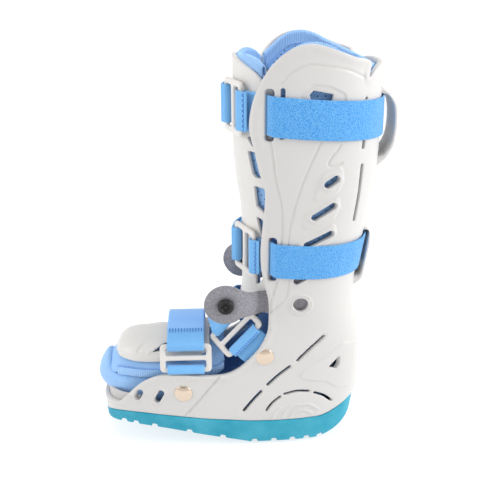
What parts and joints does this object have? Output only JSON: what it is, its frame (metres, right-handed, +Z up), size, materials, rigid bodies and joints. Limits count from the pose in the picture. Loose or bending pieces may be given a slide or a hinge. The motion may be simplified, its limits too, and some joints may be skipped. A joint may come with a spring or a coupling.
{
  "type": "air walker boot",
  "caption": "Knee-low orthopaedic walker boot: rigid shell on a rocker sole, padded liner, front panels, hook-and-loop straps with slides and ankle air cells with valve tabs.",
  "frame": {"origin": "middle of the boot's footprint box, on the floor", "axes": "+Z up, the toe points to -X and the heel to +X, +Y is the side without the slides"},
  "size_m": [0.254, 0.1052, 0.36],
  "materials": {
    "shell": "satin moulded white",
    "panel": "satin moulded white",
    "sole": "matte moulded teal",
    "liner": "brushed knit over foam",
    "strap": "looped pile webbing",
    "tab": "flocked vinyl film",
    "valve": "moulded black",
    "slide": "moulded white",
    "rivet": "pale champagne"
  },
  "bodies": {
    "root": {"outsole": "sole", "shell": "shell", "shin_panel": "panel", "toe_panel": "panel", "shin_tongue": "liner", "leg_liner": "liner", "foot_liner": "liner", "vamp_flap": "liner", "air_cell_near": "tab", "air_cell_far": "tab", "valve_near": "valve", "valve_far": "valve", "upper_strap": "strap", "lower_strap": "strap", "toe_strap": "strap", "toe_anchor": "strap", "ankle_strap": "strap", "ankle_anchor": "strap", "upper_slide": "slide", "lower_slide": "slide", "toe_slide": "slide", "ankle_slide": "slide", "rivet_ankle_near": "rivet", "rivet_ankle_far": "rivet", "rivet_toe_near": "rivet", "rivet_toe_far": "rivet"}
  },
  "joints": []
}
